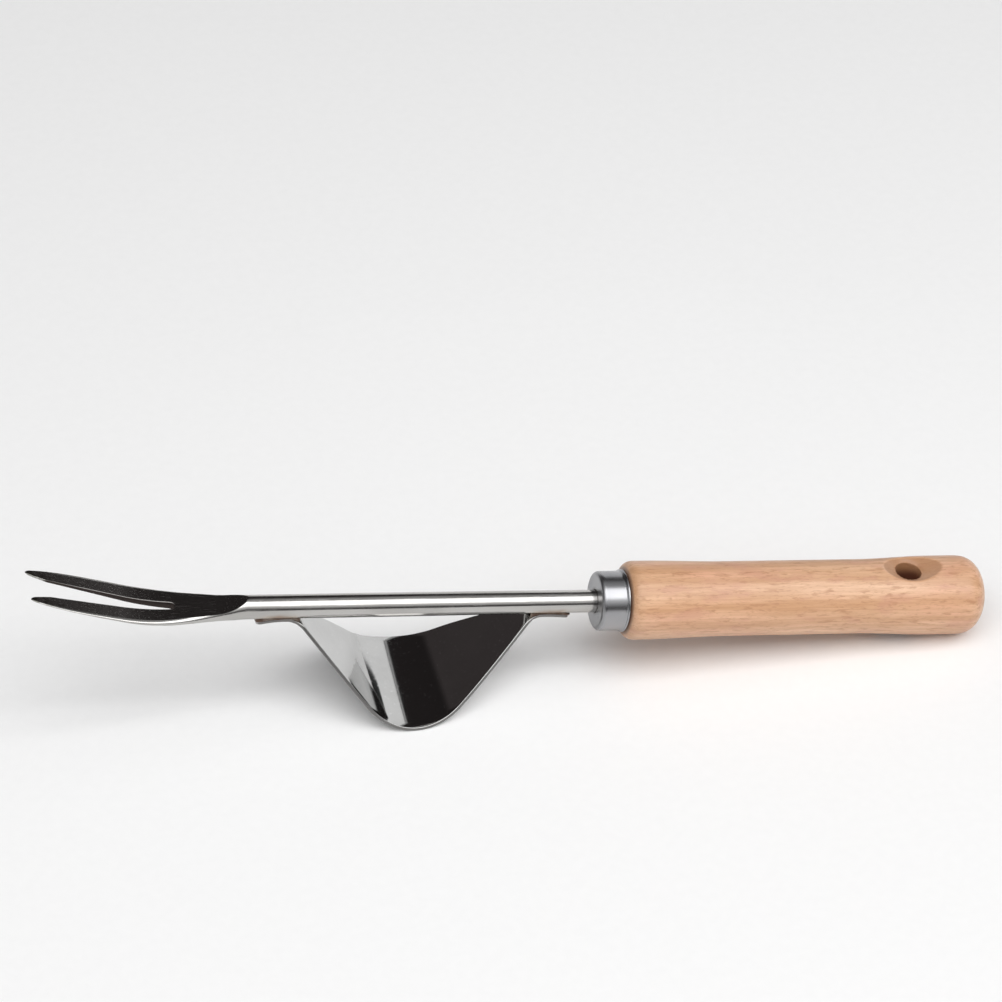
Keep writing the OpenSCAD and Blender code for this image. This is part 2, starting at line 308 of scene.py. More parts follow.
def section_sizes(s):
    """Half width, middle, rise, drop, power and flat height of the section at s."""
    if s >= FORK_LENGTH:
        radius = shaft_radius(TIPS_X + s)
        return radius, 0.0, radius, radius, 1.0, 99.0
    oval, k = smooth(s / 14), smooth((s - 50) / 24)
    half = blend(outline_half(s), SHAFT_R, smooth((s - FORK_LENGTH + 6) / 6))
    th = thickness(s)
    mid = blend(face_z(s) - 0.4 * th, 0.0, k)
    up = blend(blend(0.8, 0.60, oval) * th, SHAFT_R, k)
    power = blend(blend(0.6, 0.72, oval), 1.0, smooth((s - 44) / 26))
    return half, mid, up, mid - max(-SHAFT_R, face_z(s) - th), power, clip_z(s)


def half_contour(s):
    """Points (y, z) from the top of the inner edge, round the outside, to the bottom of it."""
    half, mid, up, down, power, clip = section_sizes(s)
    inner = slot_half(s)

    def angle_at(y):
        return math.acos(clamp01(y / half) ** (1 / power))

    def height(a, top):
        return mid + (up if top else -down) * math.sin(a) ** power

    rise = clamp01((clip - mid) / up)
    edge = half * math.sqrt(max(0.0, 1 - rise ** (2 / power))) ** power
    edge = max(edge, 1.2 + inner)
    soft = 0.42 if s >= FORK_LENGTH else min(0.42, 0.3 * thickness(s))
    points = []

    def put(y, z, top):
        d = slot_distance(s, y)
        if d < soft and s < SLOT_DEPTH + SLOT_ROOT_R + 1:
            drop = soft - math.sqrt(max(0.0, soft ** 2 - (soft - d) ** 2))
            z += -drop if top else drop
        points.append((y, z))

    first, last = inner + NEAR_EDGE[-1], edge - 0.07
    ys = [inner + d for d in NEAR_EDGE]
    ys += [blend(first, last, i / FLAT_POINTS) for i in range(1, FLAT_POINTS + 1)] + [edge]
    for y in ys:
        put(y, min(clip, height(angle_at(y), True)), True)
    start, stop = angle_at(edge), angle_at(inner + NEAR_EDGE[-1])
    for i in range(OUTER_POINTS):
        a = blend(start, -stop, (i + 1) / (OUTER_POINTS + 1) if i else 0.006)
        y = half * math.cos(a) ** power
        put(y, min(clip, height(abs(a), a > 0)), a > 0)
    for d in reversed(NEAR_EDGE):
        put(inner + d, height(angle_at(inner + d), False), False)
    squeeze = math.sqrt(max(0.0, 1 - (1 - clamp01(s / 1.6)) ** 2))
    if squeeze < 1:
        centre_y, centre_z = 0.5 * (inner + half), face_z(s) - 0.5 * thickness(s)
        points = [(centre_y + (y - centre_y) * squeeze, centre_z + (z - centre_z) * squeeze)
                  for y, z in points]
    return points


def fork_stations():
    root_end = SLOT_DEPTH + SLOT_ROOT_R
    s = [0.0, 0.04, 0.16, 0.36, 0.64, 1.0, 1.3, 1.6]
    s += list(np.linspace(2.1, 7.0, 12))
    s += list(np.linspace(7.8, SLOT_DEPTH, 64))
    s += [SLOT_DEPTH + SLOT_ROOT_R * math.sin(math.pi / 2 * i / 12) for i in range(1, 12)]
    s += [root_end]
    s += [root_end + 0.12, root_end + 0.28, root_end + 0.5, root_end + 0.8]
    s += list(np.linspace(root_end + 1.3, FORK_LENGTH, 44))
    s += list(np.linspace(FORK_LENGTH + 2, TANG_END_X - TIPS_X - 2, 90))
    return s, root_end


def build_fork_shaft():
    stations, root_end = fork_stations()
    verts, faces = [], []
    wall_points = 5
    for side in (1, -1):
        grid = len(verts)
        for s in stations:
            verts += [(TIPS_X + s, side * y, z) for y, z in half_contour(s)]
        for j in range(len(stations) - 1):
            for i in range(CONTOUR - 1):
                a = grid + j * CONTOUR + i
                faces.append((a, a + 1, a + 1 + CONTOUR, a + CONTOUR))
        walls = [j for j, s in enumerate(stations) if s <= root_end + 1e-9]
        wall = len(verts)
        for j in walls:
            top, low = verts[grid + j * CONTOUR], verts[grid + j * CONTOUR + CONTOUR - 1]
            for i in range(wall_points):
                t = i / (wall_points - 1)
                verts.append(tuple(blend(top[c], low[c], t) for c in range(3)))
        for j in range(len(walls) - 1):
            for i in range(wall_points - 1):
                a = wall + j * wall_points + i
                faces.append((a, a + 1, a + 1 + wall_points, a + wall_points))
    end_x = TIPS_X + stations[-1]
    for side in (1, -1):
        last = half_contour(stations[-1])
        base = len(verts)
        verts += [(end_x, side * y, z) for y, z in last]
        shrink = (NECK_R - 1.5) / NECK_R
        verts += [(TANG_END_X, side * y * shrink, z * shrink) for y, z in last]
        verts += [(TANG_END_X, 0.0, 0.0)]
        for i in range(CONTOUR - 1):
            a = base + i
            faces.append((a, a + 1, a + 1 + CONTOUR, a + CONTOUR))
            faces.append((a + CONTOUR, a + 1 + CONTOUR, base + 2 * CONTOUR))
    return mesh_object("fork_and_shaft", verts, faces, merge=0.002, sharp=38)


# ---------------------------------------------------------------- fulcrum plate

APEX_Z = APEX_R - PLATE_DEPTH
TAB_TOP_Z = -SHAFT_R - WELD_GAP
BEND_Z = TAB_TOP_Z - SHEET - TAB_BEND_R
BEND_REACH = APEX_R + TAB_BEND_R
LEG_LENGTH = (BEND_Z - APEX_Z + BEND_REACH * math.cos(LEG)) / math.sin(LEG)
BEND_DX = LEG_LENGTH * math.cos(LEG) + BEND_REACH * math.sin(LEG)
LEG_START_DX = APEX_R * math.sin(LEG)
APEX_HALF_ARC = APEX_R * LEG
LEAF_HALF_ARC = APEX_HALF_ARC + (BEND_DX - LEG_START_DX) / math.cos(LEG)
TAB_END_DX = BEND_DX + TAB_LENGTH


def leaf_half(dx):
    if dx > BEND_DX:
        start = TAB_END_DX - TAB_HALF
        if dx <= start:
            return blend(NECK_HALF, TAB_HALF, (dx - BEND_DX) / (start - BEND_DX))
        return math.sqrt(max(0.0, TAB_HALF ** 2 - (dx - start) ** 2))
    arc = APEX_R * math.asin(dx / APEX_R) if dx < LEG_START_DX else \
        APEX_HALF_ARC + (dx - LEG_START_DX) / math.cos(LEG)
    u, r = arc / LEAF_HALF_ARC, LEAF_ROUND
    top = math.sqrt(1 + r * r)
    return blend(NECK_HALF, PLATE_WIDTH / 2, (top - math.sqrt(u * u + r * r)) / (top - r))


def sheet_path():
    """(dx, z, slope) of the sheet's middle surface, from the middle of the apex to a tab's end."""
    path = []
    r = APEX_R - SHEET / 2
    for i in range(41):
        a = LEG * i / 40
        path.append((r * math.sin(a), APEX_Z - r * math.cos(a), a))
    end = path[-1]
    for i in range(1, 50):
        t = LEG_LENGTH * i / 49
        path.append((end[0] + t * math.cos(LEG), end[1] + t * math.sin(LEG), LEG))
    r = TAB_BEND_R + SHEET / 2
    for i in range(1, 13):
        a = LEG * (1 - i / 12)
        path.append((BEND_DX - r * math.sin(a), BEND_Z + r * math.cos(a), a))
    z = TAB_TOP_Z - SHEET / 2
    start = TAB_LENGTH - TAB_HALF
    for i in range(1, 13):
        path.append((BEND_DX + start * i / 12, z, 0.0))
    for i in range(1, 13):
        path.append((BEND_DX + start + TAB_HALF * 0.995 * math.sin(math.pi / 2 * i / 12), z, 0.0))
    return path


def sheet_section(w, t):
    """Closed loop (across, up) of the sheet's section, with deburred edges."""
    r = min(0.34, 0.45 * t, 0.8 * w)
    h = t / 2
    across = 22
    loop = [(blend(-(w - r), w - r, i / across), h) for i in range(across + 1)]
    loop += [(w - r + r * math.sin(a), h - r + r * math.cos(a))
             for a in [math.pi / 2 * i / 5 for i in range(1, 6)]]
    loop += [(w, 0.0)]
    loop += [(w - r + r * math.cos(a), -h + r - r * math.sin(a))
             for a in [math.pi / 2 * i / 5 for i in range(0, 6)]]
    loop += [(blend(w - r, -(w - r), i / across), -h) for i in range(1, across + 1)]
    loop += [(-(w - r) - r * math.sin(a), -h + r - r * math.cos(a))
             for a in [math.pi / 2 * i / 5 for i in range(1, 6)]]
    loop += [(-w, 0.0)]
    loop += [(-(w - r) - r * math.cos(a), h - r + r * math.sin(a))
             for a in [math.pi / 2 * i / 5 for i in range(0, 5)]]
    return loop


def tab_shift(dx, y):
    """How far the pressed tab leaves its flat plane: it hugs the bar and its end springs away."""
    hug = smooth((abs(dx) - BEND_DX + 1.0) / 4.0)
    saddle = SHAFT_R + WELD_GAP
    lift = saddle - math.sqrt(saddle ** 2 - min(abs(y), HUG_HALF) ** 2)
    spring = FRONT_SPRING if dx < 0 else REAR_SPRING
    t = clamp01((abs(dx) - BEND_DX - 4.0) / (TAB_LENGTH - 4.0))
    return hug * lift - spring * t ** 2


def build_plate():
    half = sheet_path()
    path = [(-dx, z, -a) for dx, z, a in reversed(half[1:])] + half
    verts, faces = [], []
    for dx, z, a in path:
        w = max(0.25, leaf_half(abs(dx)))
        for across, up in sheet_section(w, SHEET):
            verts.append((PLATE_X + dx - up * math.sin(a), across,
                          z + up * math.cos(a) + tab_shift(dx, across)))
    n = len(sheet_section(2.0, SHEET))
    for j in range(len(path) - 1):
        for i in range(n):
            a, b = j * n + i, j * n + (i + 1) % n
            faces.append((a, b, b + n, a + n))
    faces.append(tuple(range(n)))
    faces.append(tuple(range((len(path) - 1) * n, len(path) * n))[::-1])
    return mesh_object("fulcrum_sheet", verts, faces, merge=0.001, sharp=38)


# ---------------------------------------------------------------- welds

def build_weld(name, direction, seed):
    """A low bead that follows the edge of a tab where it meets the shaft."""
    rng = np.random.default_rng(seed)
    tip = TAB_END_DX - TAB_HALF
    start = BEND_DX - 1.0
    reach = TAB_HALF + 0.35
    path = [(blend(start, tip, i / 60), -reach) for i in range(61)]
    path += [(tip + reach * math.sin(a), -reach * math.cos(a))
             for a in [math.pi * i / 36 for i in range(1, 36)]]
    path += [(blend(tip, start, i / 60), reach) for i in range(61)]
    count = len(path)
    wobble = np.convolve(rng.normal(0, 1, count + 12), np.ones(9) / 9, "same")[6:6 + count]
    verts, faces = [], []
    ring = 18
    for j, (dx, y) in enumerate(path):
        x = PLATE_X + direction * dx
        end = smooth(min(j, count - 1 - j) / 12)
        ripple = 0.04 * math.sin(j * 0.9)
        r = (0.42 + 0.08 * wobble[j] + ripple) * (0.2 + 0.8 * end)
        bar = -math.sqrt(max(0.0, shaft_radius(x) ** 2 - min(abs(y), HUG_HALF) ** 2))
        tab = TAB_TOP_Z + tab_shift(direction * dx, y)
        z = 0.5 * (bar + min(bar, tab))
        tall = max(r, 0.5 * (bar - tab) + 0.15)
        for k in range(ring):
            a = 2 * math.pi * k / ring
            verts.append((x, y * (1 - 0.1 * end) + r * math.cos(a), z + tall * math.sin(a)))
    for j in range(count - 1):
        for k in range(ring):
            m = (k + 1) % ring
            faces.append((j * ring + k, j * ring + m, (j + 1) * ring + m, (j + 1) * ring + k))
    faces.append(tuple(range(ring)))
    faces.append(tuple(range((count - 1) * ring, count * ring))[::-1])
    return mesh_object(name, verts, faces, merge=0.0005)


# ---------------------------------------------------------------- material helpers

class Nodes:
    """A short way to write a node tree."""

    def __init__(self, name):
        self.material = bpy.data.materials.new(name)
        self.material.use_nodes = True
        self.tree = self.material.node_tree
        self.shader = self.tree.nodes["Principled BSDF"]
        coord = self.tree.nodes.new("ShaderNodeTexCoord")
        self.place = coord.outputs["Object"]

    def link(self, source, target):
        self.tree.links.new(source, target)

    def put(self, socket, value):
        if hasattr(value, "is_output"):
            self.link(value, socket)
        elif isinstance(value, (tuple, list)) and len(value) == 3 and socket.type == "RGBA":
            socket.default_value = (*value, 1.0)
        else:
            socket.default_value = value

    def math(self, operation, a, b=0.0, c=0.0, clamp=False):
        node = self.tree.nodes.new("ShaderNodeMath")
        node.operation = operation
        node.use_clamp = clamp
        for socket, value in zip(node.inputs, (a, b, c)):
            self.put(socket, value)
        return node.outputs[0]

    def length(self, a, b):
        return self.math("SQRT", self.math("ADD", self.math("POWER", a, 2.0),
                                           self.math("POWER", b, 2.0)))

    def scaled(self, factors, offset=(0.0, 0.0, 0.0), source=None):
        node = self.tree.nodes.new("ShaderNodeMapping")
        self.put(node.inputs["Vector"], source or self.place)
        node.inputs["Scale"].default_value = factors
        node.inputs["Location"].default_value = offset
        return node.outputs[0]

    def noise(self, vector, scale=1.0, detail=3.0, rough=0.5, distort=0.0):
        node = self.tree.nodes.new("ShaderNodeTexNoise")
        self.put(node.inputs["Vector"], vector)
        node.inputs["Scale"].default_value = scale
        node.inputs["Detail"].default_value = detail
        node.inputs["Roughness"].default_value = rough
        node.inputs["Distortion"].default_value = distort
        return node.outputs["Fac"]

    def ramp(self, value, low, high, out_low=0.0, out_high=1.0, kind="SMOOTHSTEP"):
        node = self.tree.nodes.new("ShaderNodeMapRange")
        node.interpolation_type = kind
        for socket, v in zip(node.inputs, (value, low, high, out_low, out_high)):
            self.put(socket, v)
        return node.outputs[0]

    def mix(self, factor, a, b, mode="MIX"):
        node = self.tree.nodes.new("ShaderNodeMix")
        node.data_type = "RGBA"
        node.blend_type = mode
        self.put(node.inputs[0], factor)
        self.put(node.inputs[6], a)
        self.put(node.inputs[7], b)
        return node.outputs[2]

    def split(self, vector=None):
        node = self.tree.nodes.new("ShaderNodeSeparateXYZ")
        self.put(node.inputs[0], vector or self.place)
        return node.outputs

    def bump(self, height, distance, strength=1.0, normal=None):
        node = self.tree.nodes.new("ShaderNodeBump")
        node.inputs["Strength"].default_value = strength
        node.inputs["Distance"].default_value = distance
        self.put(node.inputs["Height"], height)
        if normal is not None:
            self.put(node.inputs["Normal"], normal)
        return node.outputs[0]


def near(n, value, centre, inner, outer):
    """1 within inner of centre, falling to 0 at outer, all in metres."""
    away = n.math("ABSOLUTE", n.math("SUBTRACT", value, centre))
    return n.ramp(away, inner, outer, 1.0, 0.0)


# ---------------------------------------------------------------- beech

def beech():
    n = Nodes("beech_wood")
    x, y, z = n.split()
    drift = n.noise(n.scaled((9, 60, 60)), detail=2.0)
    off_y = n.math("ADD", y, n.math("MULTIPLY", drift, 0.004))
    off_z = n.math("ADD", z, 0.034)
    distance = n.length(off_y, off_z)
    taper = n.math("MULTIPLY", x, 0.03)
    rings = n.math("SINE", n.math("MULTIPLY", n.math("ADD", distance, taper), 2100.0))
    rings = n.ramp(rings, -0.9, 1.0)
    fibre = n.noise(n.scaled((45, 1500, 1500)), detail=4.0, rough=0.6)
    streak = n.noise(n.scaled((16, 260, 260), (3, 1, 7)), detail=3.0, rough=0.55)
    cloud = n.noise(n.scaled((22, 55, 55), (5, 2, 1)), detail=3.0)
    fleck_noise = n.noise(n.scaled((190, 980, 980), (2, 9, 4)), detail=3.0, rough=0.6, distort=0.5)
    fleck = n.ramp(fleck_noise, 0.52, 0.68)
    blush = n.ramp(n.noise(n.scaled((60, 170, 170), (8, 3, 6)), detail=3.0, rough=0.6), 0.50, 0.66)
    pore_noise = n.noise(n.scaled((420, 3600, 3600), (1, 3, 8)), detail=1.0)
    pore = n.ramp(pore_noise, 0.60, 0.70)

    light = (0.760, 0.470, 0.285)
    pink = (0.735, 0.400, 0.248)
    tan = (0.575, 0.308, 0.155)
    colour = n.mix(n.ramp(cloud, 0.36, 0.66), light, pink)
    colour = n.mix(n.ramp(streak, 0.40, 0.66, 0.0, 0.85), colour, tan)
    colour = n.mix(n.math("MULTIPLY", rings, 0.20), colour, tan)
    colour = n.mix(n.ramp(fibre, 0.38, 0.70, 0.0, 0.44), colour, (0.50, 0.245, 0.115))
    colour = n.mix(n.math("MULTIPLY", blush, 0.46), colour, (0.56, 0.262, 0.170))
    colour = n.mix(n.math("MULTIPLY", fleck, 0.62), colour, (0.43, 0.195, 0.085))
    colour = n.mix(n.math("MULTIPLY", pore, 0.34), colour, (0.34, 0.140, 0.060))

    # The wood is darker over the first 6 mm behind the ferrule, with a painted shadow line in the
    # join against it; the dished mouths get darker end grain plus painted shade, and painted shade
    # deepens down the hang hole.
    near_ferrule_band = n.ramp(x, SHOULDER_X * MM, (SHOULDER_X + 6) * MM, 1.0, 0.0)
    # Painted shadow: a dark line in the join against the ferrule.
    seam_shadow = n.ramp(x, (SHOULDER_X + 0.10) * MM, (SHOULDER_X + 0.7) * MM, 1.0, 0.0)
    colour = n.mix(n.math("MULTIPLY", near_ferrule_band, 0.30), colour, (0.42, 0.22, 0.11))
    colour = n.mix(n.math("MULTIPLY", seam_shadow, 0.75), colour, (0.11, 0.050, 0.028))
    from_axis = n.length(x, y)
    radial = n.length(z, y)
    crest = n.math("ADD", n.math("MULTIPLY", x, 0.040), 0.01314)
    depth = n.math("SUBTRACT", crest, radial)
    nearby = n.ramp(from_axis, 0.0110, 0.0125, 1.0, 0.0)
    # The dished mouths: darker end grain plus painted shade.
    dish_endgrain_and_shade = n.math("MULTIPLY", n.ramp(depth, 0.00012, 0.00050), nearby)
    # Painted shade down the hang hole, over its darker end grain.
    hole_shade = n.math("MULTIPLY", n.ramp(depth, 0.0028, 0.0064), nearby)
    colour = n.mix(n.math("MULTIPLY", dish_endgrain_and_shade, 0.74), colour, (0.38, 0.18, 0.080))
    colour = n.mix(n.math("MULTIPLY", hole_shade, 0.88), colour, (0.10, 0.022, 0.010))
    n.put(n.shader.inputs["Base Color"], colour)

    rough = n.math("ADD", 0.44, n.math("MULTIPLY", fibre, 0.14))
    rough = n.math("ADD", rough, n.math("MULTIPLY", fleck, 0.06))
    n.put(n.shader.inputs["Roughness"], rough)
    n.shader.inputs["Specular IOR Level"].default_value = 0.50
    n.shader.inputs["Coat Weight"].default_value = 0.55
    n.shader.inputs["Coat IOR"].default_value = 1.65
    n.shader.inputs["Coat Roughness"].default_value = 0.36
    relief = n.math("SUBTRACT", n.math("MULTIPLY", fibre, 0.5), n.math("ADD", fleck, pore))
    n.put(n.shader.inputs["Normal"], n.bump(relief, 0.00003, 0.6))
    return n.material


# ---------------------------------------------------------------- metals

def heat_tint(n, x, z, colour, spots, upper_z, amount=1.0):
    """Straw then brown oxide round each weld, fading up the side of the bar."""
    wobble = n.noise(n.scaled((260, 260, 260)), detail=3.0)
    low_side = n.ramp(n.math("ADD", z, n.math("MULTIPLY", wobble, 0.0016)),
                      upper_z - 0.0012, upper_z + 0.0014, 1.0, 0.0)
    shift = n.math("MULTIPLY", n.math("SUBTRACT", wobble, 0.5), 0.006)
    moved = n.math("ADD", x, shift)
    for centre, length in spots:
        straw = n.math("MULTIPLY", near(n, moved, centre, length * 0.55, length * 1.25), low_side)
        brown = n.math("MULTIPLY", near(n, moved, centre, length * 0.25, length * 0.80), low_side)
        colour = n.mix(n.math("MULTIPLY", straw, 0.60 * amount), colour, (0.50, 0.38, 0.25))
        colour = n.mix(n.math("MULTIPLY", brown, 0.75 * amount), colour, (0.21, 0.125, 0.080))
    return colour


def tab_spots():
    mid = BEND_DX + 0.45 * TAB_LENGTH
    half = 0.55 * TAB_LENGTH * MM
    return [((PLATE_X - mid) * MM, half), ((PLATE_X + mid) * MM, half)]


def bar_steel():
    n = Nodes("forged_stainless")
    x, y, z = n.split()
    lines = n.noise(n.scaled((30, 2600, 2600)), detail=3.0, rough=0.6)
    smear = n.noise(n.scaled((40, 120, 120), (1, 2, 3)), detail=3.0)
    scratch = n.ramp(n.noise(n.scaled((90, 5200, 5200), (4, 4, 1)), detail=1.0), 0.66, 0.72)
    colour = n.mix(n.ramp(smear, 0.35, 0.7), (0.53, 0.52, 0.505), (0.45, 0.44, 0.425))
    colour = n.mix(n.math("MULTIPLY", lines, 0.22), colour, (0.42, 0.41, 0.39))
    colour = heat_tint(n, x, z, colour, tab_spots(), -0.0004)
    # The slot's saw-cut walls are rougher and near-black, partly their duller finish and partly
    # painted shade in the narrow slot, and soil wear dulls the tines.
    used = n.ramp(x, (TIPS_X + 4) * MM, (TIPS_X + 60) * MM, 1.0, 0.0)
    root_x = (TIPS_X + SLOT_DEPTH) * MM
    ahead = n.math("MAXIMUM", n.math("SUBTRACT", root_x, x), 0.0)
    beyond = n.math("MAXIMUM", n.math("SUBTRACT", x, root_x), 0.0)
    reach = n.length(beyond, y)
    wall_at = n.math("ADD", n.math("MULTIPLY", ahead, SLOT_FLARE), SLOT_ROOT_R * MM)
    from_wall = n.math("SUBTRACT", reach, wall_at)
    sawn_wall_and_shade = n.ramp(from_wall, 0.00008, 0.00032, 1.0, 0.0)
    # Near-black on the slot walls: painted shade over their duller finish.
    colour = n.mix(n.math("MULTIPLY", sawn_wall_and_shade, 0.98), colour, (0.040, 0.030, 0.027))
    soil = n.noise(n.scaled((330, 330, 330), (7, 1, 6)), detail=4.0, rough=0.65)
    tip = n.ramp(x, (TIPS_X + 1) * MM, (TIPS_X + 16) * MM, 1.0, 0.0)
    soil = n.math("MULTIPLY", n.ramp(soil, 0.42, 0.60), tip)
    colour = n.mix(n.math("MULTIPLY", soil, 0.6), colour, (0.11, 0.11, 0.075))
    n.put(n.shader.inputs["Base Color"], colour)
    n.shader.inputs["Metallic"].default_value = 1.0
    rough = n.math("ADD", 0.10, n.math("MULTIPLY", smear, 0.08))
    rough = n.math("ADD", rough, n.math("MULTIPLY", lines, 0.07))
    rough = n.math("ADD", rough, n.math("MULTIPLY", used, 0.02))
    rough = n.math("ADD", rough, n.math("MULTIPLY", sawn_wall_and_shade, 0.35))
    n.put(n.shader.inputs["Roughness"], n.math("ADD", rough, n.math("MULTIPLY", scratch, 0.12)))
    relief = n.math("SUBTRACT", n.math("MULTIPLY", lines, 0.6), n.math("MULTIPLY", scratch, 0.4))
    fine = n.bump(relief, 0.000012, 0.6)
    hammer = n.noise(n.scaled((110, 160, 160), (8, 1, 2)), detail=2.0)
    n.put(n.shader.inputs["Normal"], n.bump(hammer, 0.00006, 0.55, fine))
    return n.material


def sheet_steel():
    n = Nodes("sheet_stainless")
    x, _, z = n.split()
    rolled = n.noise(n.scaled((900, 60, 900)), detail=3.0, rough=0.6)
    smear = n.noise(n.scaled((55, 55, 55), (6, 2, 9)), detail=4.0, rough=0.6)
    specks = n.ramp(n.noise(n.scaled((900, 900, 900), (3, 7, 5)), detail=0.0), 0.74, 0.79)
    colour = n.mix(n.ramp(smear, 0.35, 0.7), (0.55, 0.55, 0.545), (0.50, 0.50, 0.495))
    colour = n.mix(n.math("MULTIPLY", specks, 0.25), colour, (0.80, 0.80, 0.80))
    colour = heat_tint(n, x, z, colour, tab_spots(), 0.01, 0.20)
    # The shear-cut edges are dull, and their dark grey is partly that duller finish and partly
    # painted shade.
    facing = n.tree.nodes.new("ShaderNodeNewGeometry").outputs["Normal"]
    sheared_and_shaded = n.ramp(n.math("ABSOLUTE", n.split(facing)[1]), 0.45, 0.75)
    # Dark grey on the edges: duller finish plus painted shade.
    colour = n.mix(n.math("MULTIPLY", sheared_and_shaded, 0.85), colour, (0.15, 0.145, 0.14))
    n.put(n.shader.inputs["Base Color"], colour)
    n.shader.inputs["Metallic"].default_value = 1.0
    rough = n.math("ADD", 0.035, n.math("MULTIPLY", smear, 0.05))
    rough = n.math("ADD", rough, n.math("MULTIPLY", rolled, 0.03))
    rough = n.math("ADD", rough, n.math("MULTIPLY", sheared_and_shaded, 0.30))
    n.put(n.shader.inputs["Roughness"], n.math("ADD", rough, n.math("MULTIPLY", specks, 0.08)))
    fine = n.bump(rolled, 0.000006, 0.5)
    wave = n.noise(n.scaled((45, 45, 45), (2, 8, 5)), detail=1.0)
    n.put(n.shader.inputs["Normal"], n.bump(wave, 0.00004, 0.3, fine))
    return n.material


def ferrule_steel():
    n = Nodes("ferrule_steel")
    x, y, z = n.split()
    turned = n.noise(n.scaled((5200, 20, 20)), detail=3.0, rough=0.6)
    radial = n.length(y, z)
    rings = n.math("SINE", n.math("MULTIPLY", radial, 14000.0))
    face = n.ramp(x, (FERRULE_X + 0.5) * MM, (FERRULE_X + 1.4) * MM, 1.0, 0.0)
    smear = n.noise(n.scaled((90, 90, 90), (1, 5, 2)), detail=3.0)
    colour = n.mix(n.ramp(smear, 0.35, 0.7), (0.37, 0.37, 0.38), (0.32, 0.32, 0.335))
    colour = n.mix(n.math("MULTIPLY", turned, 0.25), colour, (0.30, 0.30, 0.31))
    # The front face is darker: painted shade; its own finish is the added roughness and turned
    # rings below.
    colour = n.mix(n.math("MULTIPLY", face, 0.35), colour, (0.26, 0.26, 0.265))
    # Painted shade: darker in the corner against the wood and round the shaft where it enters the
    # face.
    corner = n.ramp(x, (SHOULDER_X - 0.7) * MM, SHOULDER_X * MM)
    colour = n.mix(n.math("MULTIPLY", corner, 0.5), colour, (0.16, 0.13, 0.11))
    # Painted contact shadow round the shaft on the front face.
    hub_shade = n.math("MULTIPLY", n.ramp(radial, 0.0040, 0.0052, 1.0, 0.0), face)
    colour = n.mix(n.math("MULTIPLY", hub_shade, 0.6), colour, (0.12, 0.11, 0.10))
    n.put(n.shader.inputs["Base Color"], colour)
    n.shader.inputs["Metallic"].default_value = 1.0
    rough = n.math("ADD", 0.20, n.math("MULTIPLY", smear, 0.10))
    rough = n.math("ADD", rough, n.math("MULTIPLY", face, 0.08))
    n.put(n.shader.inputs["Roughness"], rough)
    relief = n.math("ADD", turned, n.math("MULTIPLY", n.math("MULTIPLY", rings, face), 0.2))
    n.put(n.shader.inputs["Normal"], n.bump(relief, 0.000020, 0.6))
    return n.material


def weld_steel():
    n = Nodes("weld_metal")
    grain = n.noise(n.scaled((700, 700, 700)), detail=4.0, rough=0.6)
    patch = n.noise(n.scaled((240, 240, 240), (3, 3, 3)), detail=2.0)
    colour = n.mix(n.ramp(patch, 0.35, 0.65), (0.12, 0.080, 0.062), (0.24, 0.20, 0.17))
    colour = n.mix(n.ramp(grain, 0.45, 0.8, 0.0, 0.6), colour, (0.12, 0.07, 0.05))
    n.put(n.shader.inputs["Base Color"], colour)
    n.shader.inputs["Metallic"].default_value = 1.0
    n.put(n.shader.inputs["Roughness"], n.math("ADD", 0.30, n.math("MULTIPLY", grain, 0.25)))
    n.put(n.shader.inputs["Normal"], n.bump(grain, 0.00010, 0.7))
    return n.material


def glue():
    n = Nodes("cured_epoxy")
    milky = n.noise(n.scaled((400, 400, 400)), detail=3.0)
    n.put(n.shader.inputs["Base Color"],
          n.mix(milky, (0.62, 0.52, 0.30), (0.74, 0.66, 0.44)))
    n.put(n.shader.inputs["Roughness"], n.math("ADD", 0.35, n.math("MULTIPLY", milky, 0.2)))
    n.put(n.shader.inputs["Normal"], n.bump(milky, 0.00005, 0.5))
    return n.material


# ---------------------------------------------------------------- the object

def finish_piece(obj, material, slot, *nodes):
    obj.data.materials.clear()
    obj.data.materials.append(material)
    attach(obj, "root")
    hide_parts(*nodes)
    return obj


weld_material = weld_steel()
finish_piece(build_handle(), beech(), "beech", "handle")
finish_piece(build_ferrule(), ferrule_steel(), "ferrule_steel", "ferrule")
finish_piece(build_fork_shaft(), bar_steel(), "forged_steel", "fork_shaft")
finish_piece(build_plate(), sheet_steel(), "sheet_steel", "fulcrum_plate")
finish_piece(build_weld("front_bead", -1, 3), weld_material, "weld_metal", "front_weld")
finish_piece(build_weld("rear_bead", 1, 8), weld_material, "weld_metal", "rear_weld")
glue_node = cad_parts["tang_adhesive"]
glue_node.data.materials.clear()
glue_node.data.materials.append(glue())


# ---------------------------------------------------------------- floor

def under(name, slope):
    """Lowest height of a piece above a line of this slope through the origin, in mm."""
    mesh = bpy.data.objects[name].data
    places = np.empty(3 * len(mesh.vertices))
    mesh.vertices.foreach_get("co", places)
    places = places.reshape(-1, 3)
    return float((places[:, 2] - slope * places[:, 0]).min()) / MM


def resting_plane():
    """Slope and height of the plane that touches the plate's apex and the handle from below."""
    low, high = 0.0, 0.3
    for _ in range(40):
        slope = 0.5 * (low + high)
        if under("handle_wood", slope) > under("fulcrum_sheet", slope):
            low = slope
        else:
            high = slope
    return slope, min(under("handle_wood", slope), under("fulcrum_sheet", slope))


